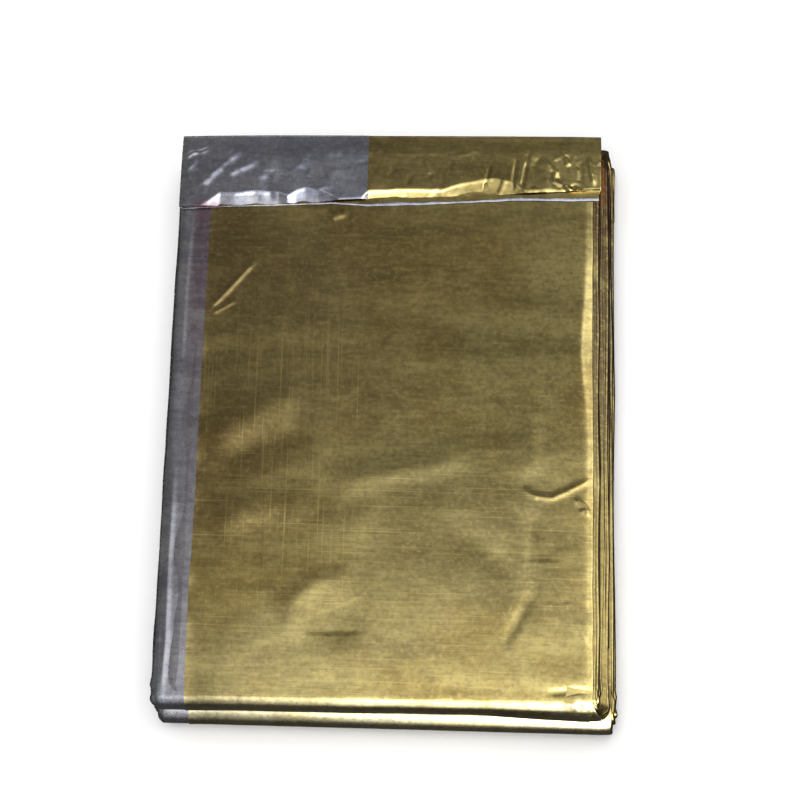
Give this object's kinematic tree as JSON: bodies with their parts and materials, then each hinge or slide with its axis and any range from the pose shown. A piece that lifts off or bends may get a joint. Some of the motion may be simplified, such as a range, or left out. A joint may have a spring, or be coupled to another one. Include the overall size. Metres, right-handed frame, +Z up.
{
  "type": "emergency foil blanket",
  "caption": "Thin metallised film blanket, gold on one side and silver on the other, folded back and forth into a flat oblong packet with a short flap over one end.",
  "frame": {"origin": "middle of the packet's footprint, on the surface that it lies on", "axes": "+X to the right of the packet's face, +Y along the packet to the end with the flap, +Z up out of the face"},
  "size_m": [0.092, 0.1224, 0.0187],
  "materials": {
    "foil_gold": "gloss",
    "foil_silver": "gloss"
  },
  "bodies": {
    "root": {"foil_blanket": "foil_gold"}
  },
  "joints": []
}
